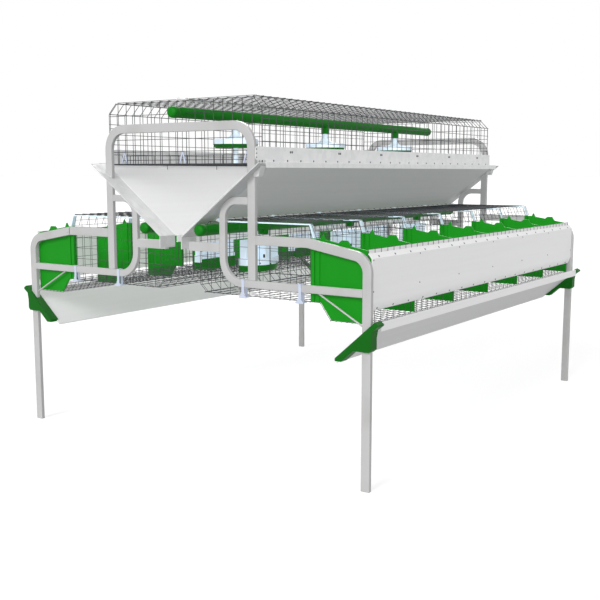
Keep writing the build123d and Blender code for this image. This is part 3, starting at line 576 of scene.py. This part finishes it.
# White edge strips that hang from the hopper boards along the slot
slotStrip = {"drop": 29, "lap": 6, "thick": 2.4, "hem": 4, "corner": 1, "gap": 0.1, "endGap": 8}


def makeSlotStrips():
    look = slotStrip
    thick, hem, corner, endGap = mm(look["thick"]), mm(look["hem"]), mm(look["corner"]), mm(look["endGap"])
    for name, side in rowSides:
        low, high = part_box("hopper_board_" + name)
        edge = abs(spanX("hopper_board_" + name, side)[0]) - mm(look["gap"])
        foot, top = low.z - mm(look["drop"]), low.z + mm(look["lap"])
        profile = [(edge, top), (edge, foot + hem), (edge + thick, foot + hem), (edge + thick, foot + corner),
                   (edge, foot), (edge - thick, foot + corner), (edge - thick, top - corner)]
        rowStrip("slotStrip." + name, [(side * x, z) for x, z in profile], low.y + endGap, high.y - endGap,
                 whitePanel, "grey_board")


makeSlotStrips()

# Divider nets across the rows: one at each partition, open under the hopper's slope. Those at the feeders end
# against the trough and go on below it.
divider = {"pitchAcross": 53, "pitchUp": 50, "wire": 2.0, "slope": 37, "slopeFootX": 63, "slopeFootZ": 999,
           "pipeHole": 27, "wallGap": 4, "shoulder": 15, "stripTop": 1025, "footRun": 37, "footRise": 37,
           "feederEdge": 207, "underTrough": 819, "plainSteps": (-3, -1, 1, 3), "feederSteps": (-2, 0, 2)}


def makeDividers():
    look = divider
    thick = mm(look["wire"])
    pitch = (mm(look["pitchAcross"]), mm(look["pitchUp"]))
    lidY, nextLidY = [joint["pos_m"][1] for joint in frame["joints"][:2]]
    cagePitch = abs(lidY - nextLidY)
    low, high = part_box("dividers")
    inner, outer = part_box("inner_wall_right")[0].x + mm(look["wallGap"]), high.x
    pipeLow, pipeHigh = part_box("feed_pipe_right")
    pipeX, pipeZ = (pipeLow.x + pipeHigh.x) / 2, pipeHigh.z - mm(pipeRadius)
    hole = mm(look["pipeHole"])
    pipeCut = ((pipeX - hole, pipeZ - hole), (pipeX + hole, pipeZ + hole))
    tangent = math.tan(math.radians(look["slope"]))
    slopeX, slopeZ = mm(look["slopeFootX"]), mm(look["slopeFootZ"])
    edge, underTrough = mm(look["feederEdge"]), mm(look["underTrough"])
    foot = [(inner, low.z + mm(look["footRise"])), (inner + mm(look["footRun"]), low.z)]
    outerEdge = [(outer, low.z), (outer, mm(look["stripTop"])), (outer - mm(look["shoulder"]), high.z)]
    plain = foot + outerEdge + [(slopeX + (high.z - slopeZ) / tangent, high.z),
                                (inner, slopeZ + (inner - slopeX) * tangent)]
    besideTrough = [(edge, low.z)] + outerEdge + [(edge, high.z)]
    belowTrough = foot + [(edge, low.z), (edge, underTrough), (inner, underTrough)]
    for name, node, steps, outlines, cuts in (
        ("dividerWires", "dividers", look["plainSteps"], [plain], [pipeCut]),
        ("feederDividerWires", "feeder_dividers", look["feederSteps"], [besideTrough, belowTrough], []),
    ):
        verts, faces = [], []
        for step in steps:
            for _, side in rowSides:
                for outline in outlines:
                    addNet(verts, faces, (0, step * cagePitch, 0), (side, 0, 0), (0, 0, 1), outline, pitch, thick, cuts)
        wirePiece(name, verts, faces, node)


makeDividers()
print("nets drawn as wires, with their guards and strips")


# Turned pieces of the round feeders, lathed about a vertical axis
def addLathe(verts, faces, centre, profile, steps=48):
    first = len(verts)
    count = len(profile)
    for i in range(steps):
        turn = 2 * math.pi * i / steps
        for radius, z in profile:
            verts.append(Vector((centre.x + radius * math.cos(turn), centre.y + radius * math.sin(turn), z)))
    for i in range(steps):
        here, ahead = first + i * count, first + ((i + 1) % steps) * count
        for k in range(count):
            after = (k + 1) % count
            faces.append((here + k, ahead + k, ahead + after, here + after))


roundFeeder = {"wall": 3, "axisHole": 1, "floorRadius": 103, "panRound": 6, "rimLip": 2.2, "tube": 18, "coneFlare": 22,
               "neckRise": 8, "neckOut": 3, "coneFoot": 2, "coneBend": (0.72, 9), "coneInside": (0.7, 6), "sharp": 40}


def makeRoundFeeders():
    look = roundFeeder
    wall, lip, curve, tube = mm(look["wall"]), mm(look["rimLip"]), mm(look["panRound"]), mm(look["tube"])
    axis, floorRadius = mm(look["axisHole"]), mm(look["floorRadius"])
    panLow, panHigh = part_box("feeder_pans")
    rimLow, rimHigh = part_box("pan_rims")
    coneLow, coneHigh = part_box("feeder_cones")
    radius, coneRadius = panHigh.x, coneHigh.x
    flareTop = coneLow.z + mm(look["coneFlare"])
    panProfile = [(axis, panLow.z), (floorRadius - curve, panLow.z), (floorRadius, panLow.z + curve / 2),
                  (radius - lip, panHigh.z - lip), (radius, panHigh.z), (radius - wall, panHigh.z),
                  (floorRadius - wall, panLow.z + wall + curve / 2), (floorRadius - wall - curve, panLow.z + wall),
                  (axis, panLow.z + wall)]
    rimProfile = [(radius - wall, rimLow.z), (radius, rimLow.z), (radius, rimHigh.z - lip),
                  (radius - wall / 2, rimHigh.z), (radius - wall, rimHigh.z - lip)]
    bend, inside = [(coneRadius * look[key][0], coneLow.z + mm(look[key][1])) for key in ("coneBend", "coneInside")]
    coneProfile = [(tube - wall, coneHigh.z), (tube, coneHigh.z), (tube, flareTop + mm(look["neckRise"])),
                   (tube + mm(look["neckOut"]), flareTop), bend, (coneRadius, coneLow.z + mm(look["coneFoot"])),
                   (coneRadius, coneLow.z), (coneRadius - wall, coneLow.z), inside, (tube - wall, flareTop - wall)]
    for name, node, profile, material, slot in (
        ("feederPans", "feeder_pans", panProfile, darkGreen, "dark_green_plastic"),
        ("panRims", "pan_rims", rimProfile, paleBlue, "pale_blue_plastic"),
        ("feederCones", "feeder_cones", coneProfile, paleBlue, "pale_blue_plastic"),
    ):
        verts, faces = [], []
        for y in (panLow.y + radius, 0, panHigh.y - radius):
            addLathe(verts, faces, Vector((0, y, 0)), profile)
        piece = newPiece(name, verts, faces, material, "cage", slot)
        piece.data.set_sharp_from_angle(angle=math.radians(look["sharp"]))
        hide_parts(node)


makeRoundFeeders()
print("round feeders lathed")

# Heads of screws and rivets: a flat washer under a low dome, as shares of the radius outward and up
headRings = ((1.0, 0.0), (1.0, 0.12), (0.72, 0.16), (0.66, 0.36), (0.4, 0.5))


def addHead(verts, faces, centre, normal, radius, steps=10):
    normal = Vector(normal).normalized()
    across, over = crossAxes(normal)
    first = len(verts)
    for reach, height in headRings:
        for k in range(steps):
            turn = 2 * math.pi * k / steps
            spot = math.cos(turn) * across + math.sin(turn) * over
            verts.append(Vector(centre) + spot * radius * reach + normal * radius * height)
    for i in range(len(headRings) - 1):
        here, above = first + i * steps, first + (i + 1) * steps
        for k in range(steps):
            after = (k + 1) % steps
            faces.append((here + k, here + after, above + after, above + k))
    faces.append(tuple(first + (len(headRings) - 1) * steps + k for k in range(steps)))


# Screws of the outer panels: two rows on the folded edges, with height, inset and lean, and small ones at each cage
panelScrews = {"rows": ((962, 5.6, 0.8), (751, 12.8, -0.45)), "radius": 5.0, "pitch": 133.3, "endY": 1150,
               "smallZ": (949, 823), "smallRadius": 3.4, "smallPitch": 400, "smallEndY": 1200}


def makePanelScrews():
    look = panelScrews
    endY, smallEndY = mm(look["endY"]), mm(look["smallEndY"])
    for name, side in rowSides:
        face = spanX("outer_panel_" + name, side)[1]
        verts, faces = [], []
        for y in gridLines(-endY, endY, mm(look["pitch"])):
            for z, inset, lean in look["rows"]:
                addHead(verts, faces, (face - side * mm(inset), y, mm(z)), (side, 0, lean), mm(look["radius"]))
        for y in gridLines(-smallEndY, smallEndY, mm(look["smallPitch"])):
            for z in look["smallZ"]:
                addHead(verts, faces, (face, y, mm(z)), (side, 0, 0), mm(look["smallRadius"]))
        newPiece("panelScrews." + name, verts, faces, screwMetal, "cage", "sheet_steel")


makePanelScrews()

# Rivets of the kick strips, and the paired screws of the clips above them
kickRivets = {"radius": 4.6, "pitch": 104, "endGap": 60, "z": 1344, "clipRadius": 5.52, "clipPitch": 400,
              "clipEndY": 1000, "clipZ": 1382, "clipGap": 13}


def makeKickRivets():
    look = kickRivets
    low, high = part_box("kick_strips")
    endGap, clipEndY = mm(look["endGap"]), mm(look["clipEndY"])
    for name, side in rowSides:
        face = side * high.x
        verts, faces = [], []
        for y in gridLines(low.y + endGap, high.y - endGap, mm(look["pitch"])):
            addHead(verts, faces, (face, y, mm(look["z"])), (side, 0, 0), mm(look["radius"]))
        for y in gridLines(-clipEndY, clipEndY, mm(look["clipPitch"])):
            for step in (-1, 1):
                spot = (face, y + step * mm(look["clipGap"]) / 2, mm(look["clipZ"]))
                addHead(verts, faces, spot, (side, 0, 0), mm(look["clipRadius"]))
        newPiece("kickRivets." + name, verts, faces, screwMetal, "cage", "sheet_steel")


makeKickRivets()

# Ear that carries the right kick strip's front end past the cage to the arch post, with three screws
kickEar = {"reach": 70, "foot": 1346, "thick": 2, "round": 8, "gap": 0.3, "screws": (1357, 1374, 1391), "inset": 9,
           "radius": 3.4}


def makeKickEar():
    look = kickEar
    low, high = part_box("kick_strips")
    start, tip = low.y - mm(look["gap"]), low.y - mm(look["reach"])
    curve, foot = mm(look["round"]), mm(look["foot"])
    outline = [(start, foot), (start, high.z), (tip + curve, high.z), (tip, high.z - curve), (tip, foot + curve),
               (tip + curve, foot)]
    verts, faces = [], []
    addPrism(verts, faces, [(high.x, y, z) for y, z in outline], (-mm(look["thick"]), 0, 0))
    newPiece("kickEar.right", verts, faces, foldedSheet, "cage", "sheet_steel", smooth=False)
    verts, faces = [], []
    for z in look["screws"]:
        addHead(verts, faces, (high.x, tip + mm(look["inset"]), mm(z)), (1, 0, 0), mm(look["radius"]))
    newPiece("kickEarScrews.right", verts, faces, screwMetal, "cage", "sheet_steel")


makeKickEar()


# Folded edging over the outer edge of a board, with a hem turned in at its foot
def addEdging(name, side, face, top, foot, look, material, slot):
    face += mm(look["gap"])
    thick, hem, endY = mm(look["thick"]), mm(look["hem"]), mm(look["endY"])
    profile = [(face, top), (face + thick, top - thick), (face + thick, foot), (face - hem, foot),
               (face - hem, foot + thick), (face, foot + thick)]
    rowStrip(name, [(side * x, z) for x, z in profile], -endY, endY, material, slot)


# Edging of the same sheet as the kick strips, hung over the outer edges of the hopper boards
hopperEdging = {"foot": 1314, "lap": 1, "thick": 1.2, "hem": 3, "gap": 0.1, "endY": 1226}


def makeHopperEdging():
    look = hopperEdging
    for name, side in rowSides:
        board = "hopper_board_" + name
        face, top = abs(spanX(board, side)[1]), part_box(board)[1].z + mm(look["lap"])
        addEdging("hopperEdging." + name, side, face, top, mm(look["foot"]), look, foldedSheet, "sheet_steel")


makeHopperEdging()

# White edging over the outer lip of the dung deflectors, deeper than the lip
deflectorEdging = {"drop": 38, "thick": 1.2, "hem": 3, "gap": 0.1, "endY": 1202}


def makeDeflectorEdging():
    look = deflectorEdging
    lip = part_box("deflector_boards")[1]
    foot = lip.z - mm(look["drop"])
    for name, side in rowSides:
        addEdging("deflectorEdging." + name, side, lip.x, lip.z, foot, look, whitePanel, "grey_board")


makeDeflectorEdging()

# Spread feet at the lower ends of the floor hangers
hangerFoot = {"places": (-680, -380, 380, 680), "faceY": 1238.4, "low": 752.7, "thick": 2,
              "outline": ((-20, 0), (20, 0), (20, 6), (8, 16), (8, 24), (-8, 24), (-8, 16), (-20, 6))}


def makeHangerFeet():
    look = hangerFoot
    for name, end in (("front", -1), ("rear", 1)):
        verts, faces = [], []
        for place in look["places"]:
            outline = [(mm(place + x), end * mm(look["faceY"]), mm(look["low"] + z)) for x, z in look["outline"]]
            addPrism(verts, faces, outline, (0, end * mm(look["thick"]), 0))
        newPiece("hangerFeet." + name, verts, faces, hangerBar, "cage", "pale_blue_steel", smooth=False)


makeHangerFeet()

# Trim of the doe feeders: a gate on the nose, a tab that locks band and trough, a green plate behind the trough,
# rubber flaps at the foot of the nose and screws in the band's slanted sides
feederRows = (-800, 0, 800)
feederGate = {"half": 37, "foot": 891, "top": 973, "x": 203.6, "thick": 2.4, "corner": 6}
feederTab = {"half": 7, "foot": 854, "rise": 7, "lap": 3, "x": 206.4, "thick": 1.4}
feederPlate = {"half": 130, "low": 819.5, "high": 870, "x": 115.9, "thick": 1.6, "bead": 3, "beadDrop": 4}
feederFlap = {"near": 191, "far": 202, "low": 889, "high": 906, "y": 36.1, "thick": 1.2, "corner": 3}
feederScrew = {"place": (193.6, 65.4, 863), "normal": (0.898, 0.439), "radius": 4.2}
feederTrims = {"feederGates": (paleBlue, "pale_blue_plastic"), "feederTabs": (darkGreen, "dark_green_plastic"),
               "feederPlates": (darkGreen, "dark_green_plastic"), "feederFlaps": (rubber, "dark_green_plastic"),
               "feederScrews": (screwMetal, "sheet_steel")}


def gateOutline():
    half, foot, top, corner = [feederGate[key] for key in ("half", "foot", "top", "corner")]
    return [(-half, foot), (half, foot), (half, top - corner), (half - corner, top), (-half + corner, top),
            (-half, top - corner)]


def tabOutline():
    half, foot, rise, lap = [feederTab[key] for key in ("half", "foot", "rise", "lap")]
    return [(-half, foot - lap), (half, foot - lap), (half, foot + rise / 2), (half / 2, foot + rise),
            (-half / 2, foot + rise), (-half, foot + rise / 2)]


def plateProfile():
    x, low, high, thick, bead, drop = [feederPlate[key] for key in ("x", "low", "high", "thick", "bead", "beadDrop")]
    return [(x, low), (x, high), (x - bead / 2, high + bead / 2), (x - bead, high), (x - bead, high - drop),
            (x - thick, high - drop), (x - thick, low)]


def flapOutline():
    near, far, low, high, corner = [feederFlap[key] for key in ("near", "far", "low", "high", "corner")]
    return [(near, low), (far, low), (far, high - corner), (far - corner, high), (near + corner, high),
            (near, high - corner)]


def makeDoeFeeders():
    meshes = {name: ([], []) for name in feederTrims}
    plateHalf = feederPlate["half"]
    screwX, screwY, screwZ = feederScrew["place"]
    for _, side in rowSides:
        for row in feederRows:
            def at(x, y, z):
                return (side * mm(x), mm(row + y), mm(z))

            addPrism(*meshes["feederGates"], [at(feederGate["x"], y, z) for y, z in gateOutline()],
                     (side * mm(feederGate["thick"]), 0, 0))
            addPrism(*meshes["feederTabs"], [at(feederTab["x"], y, z) for y, z in tabOutline()],
                     (side * mm(feederTab["thick"]), 0, 0))
            addPrism(*meshes["feederPlates"], [at(x, -plateHalf, z) for x, z in plateProfile()],
                     (0, mm(2 * plateHalf), 0))
            for end in (-1, 1):
                addPrism(*meshes["feederFlaps"], [at(x, end * feederFlap["y"], z) for x, z in flapOutline()],
                         (0, end * mm(feederFlap["thick"]), 0))
                normal = (side * feederScrew["normal"][0], end * feederScrew["normal"][1], 0)
                addHead(*meshes["feederScrews"], at(screwX, end * screwY, screwZ), normal, mm(feederScrew["radius"]))
    for name, (material, slot) in feederTrims.items():
        newPiece(name, *meshes[name], material, "cage", slot, smooth=False)


makeDoeFeeders()

# Caps pushed on the ends of the feed pipes, with a rounded shoulder
pipeCap = {"proud": 1.2, "length": 42, "round": 16, "roundStep": 15, "mouthLip": 1.1, "mouthDepth": 1, "axisHole": 0.5,
           "steps": 40, "sharp": 50}


def capProfile():  # distance from the pipe's axis and from the cap's tip
    look = pipeCap
    radius, curve, mouth = mm(pipeRadius + look["proud"]), mm(look["round"]), -mm(look["length"])
    turns = [math.radians(angle) for angle in range(0, 91, look["roundStep"])]
    shoulder = [(radius - curve + curve * math.cos(turn), -curve + curve * math.sin(turn)) for turn in turns]
    return [(radius - mm(look["mouthLip"]), mouth), (radius, mouth + mm(look["mouthDepth"])), *shoulder,
            (mm(look["axisHole"]), 0)]


def makePipeCaps():
    look = pipeCap
    profile, steps = capProfile(), look["steps"]
    count = len(profile)
    for node in ("upper_feed_pipe", "feed_pipe_left", "feed_pipe_right"):
        low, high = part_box(node)
        x, z = (low.x + high.x) / 2, high.z - mm(pipeRadius)
        verts, faces = [], []
        for end, y in ((-1, low.y), (1, high.y)):
            tip = y + end * mm(look["proud"])
            first = len(verts)
            for i in range(steps):
                turn = 2 * math.pi * i / steps
                for reach, back in profile:
                    verts.append(Vector((x + reach * math.cos(turn), tip + end * back, z + reach * math.sin(turn))))
            for i in range(steps):
                here, ahead = first + i * count, first + ((i + 1) % steps) * count
                for k in range(count - 1):
                    quad = (here + k, ahead + k, ahead + k + 1, here + k + 1)
                    faces.append(quad if end < 0 else quad[::-1])
        piece = newPiece("pipeCaps." + node, verts, faces, darkGreen, "cage", "dark_green_plastic")
        piece.data.set_sharp_from_angle(angle=math.radians(look["sharp"]))


makePipeCaps()
print("fasteners, edgings, feeder trim and caps added")

# Stage: a pale floor that keeps a soft shadow, a white surrounding and soft lamps. Lengths here are in metres.
# The even and back lamps cast no shadow, so that the insides behind the nets and the far end stay readable.
stage = {"floor": "#ADADAD", "floorRoughness": 0.9, "floorSize": 400, "glow": 0.5, "world": 0.26}
lamps = {"keyLamp": {"place": (0.0, -7.0, 3.6), "spread": 24, "power": 2.5, "shadow": True},
         "evenLamp": {"place": (4.4, -4.2, 2.5), "spread": 30, "power": 2.3, "shadow": False},
         "backLamp": {"place": (-3.0, 6.0, 3.0), "spread": 30, "power": 2.2, "shadow": False}}


def addSeen(tree):  # 1 where the surrounding is seen, directly or in gloss or glass, and 0 where it only lights
    path = addNode(tree, "ShaderNodeLightPath")
    seen = path.outputs["Is Camera Ray"]
    for ray in ("Is Glossy Ray", "Is Transmission Ray"):
        seen = addNode(tree, "ShaderNodeMath", {"operation": "MAXIMUM"}, {}, {0: seen, 1: path.outputs[ray]}).outputs[0]
    return seen


def makeFloor():
    look = stage
    material, tree, _ = newMaterial("paleFloor")
    glow = addNode(tree, "ShaderNodeMath", {"operation": "MULTIPLY"}, {1: look["glow"]}, {0: addSeen(tree)})
    addSurface(tree, {"Base Color": linear(look["floor"]), "Roughness": look["floorRoughness"],
                      "Emission Color": (1, 1, 1, 1)}, {"Emission Strength": glow.outputs[0]})
    half = look["floorSize"] / 2
    mesh = bpy.data.meshes.new("floor")
    mesh.from_pydata([(-half, -half, 0), (half, -half, 0), (half, half, 0), (-half, half, 0)], [], [(0, 1, 2, 3)])
    mesh.materials.append(material)
    floor = bpy.data.objects.new("floor", mesh)
    bpy.context.scene.collection.objects.link(floor)


def makeWorld():
    world = bpy.data.worlds.new("studio")
    bpy.context.scene.world = world
    world.use_nodes = True
    tree = world.node_tree
    tree.nodes.clear()
    strength = addNode(tree, "ShaderNodeMapRange", {}, {"To Min": stage["world"], "To Max": 1.0},
                       {"Value": addSeen(tree)})
    sky = addNode(tree, "ShaderNodeBackground", {}, {"Color": (1, 1, 1, 1)}, {"Strength": strength.outputs[0]})
    addNode(tree, "ShaderNodeOutputWorld", {}, {}, {"Surface": sky.outputs[0]})


def makeLamps():
    for name, look in lamps.items():
        lamp = bpy.data.lights.new(name, "SUN")
        lamp.angle = math.radians(look["spread"])
        lamp.energy = look["power"]
        lamp.use_shadow = look["shadow"]
        holder = bpy.data.objects.new(name, lamp)
        holder.location = look["place"]
        holder.rotation_euler = (-Vector(look["place"])).to_track_quat("-Z", "Y").to_euler()
        bpy.context.scene.collection.objects.link(holder)


makeFloor()
makeWorld()
makeLamps()

# Camera at the photograph's viewing angle: place in metres, focal length in pixels of the image
view = {"place": (2.8208, -4.3431, 1.2957), "yaw": 34.56, "pitch": 7.96, "focal": 915.1, "image": 600, "sensor": 36,
        "clipEnd": 200}


def makeCamera():
    look = view
    yaw, pitch = math.radians(look["yaw"]), math.radians(look["pitch"])
    ahead = Vector((-math.sin(yaw) * math.cos(pitch), math.cos(yaw) * math.cos(pitch), -math.sin(pitch)))
    right = Vector((math.cos(yaw), math.sin(yaw), 0))
    up = right.cross(ahead)
    lens = bpy.data.cameras.new("photoView")
    lens.sensor_fit = "HORIZONTAL"
    lens.sensor_width = look["sensor"]
    lens.lens = look["focal"] / look["image"] * look["sensor"]
    lens.clip_end = look["clipEnd"]
    camera = bpy.data.objects.new("photoView", lens)
    camera.matrix_world = Matrix.Translation(look["place"]) @ Matrix((right, up, -ahead)).transposed().to_4x4()
    bpy.context.scene.collection.objects.link(camera)
    bpy.context.scene.camera = camera
    bpy.context.scene.view_settings.view_transform = "Standard"


makeCamera()

print("scene ready")
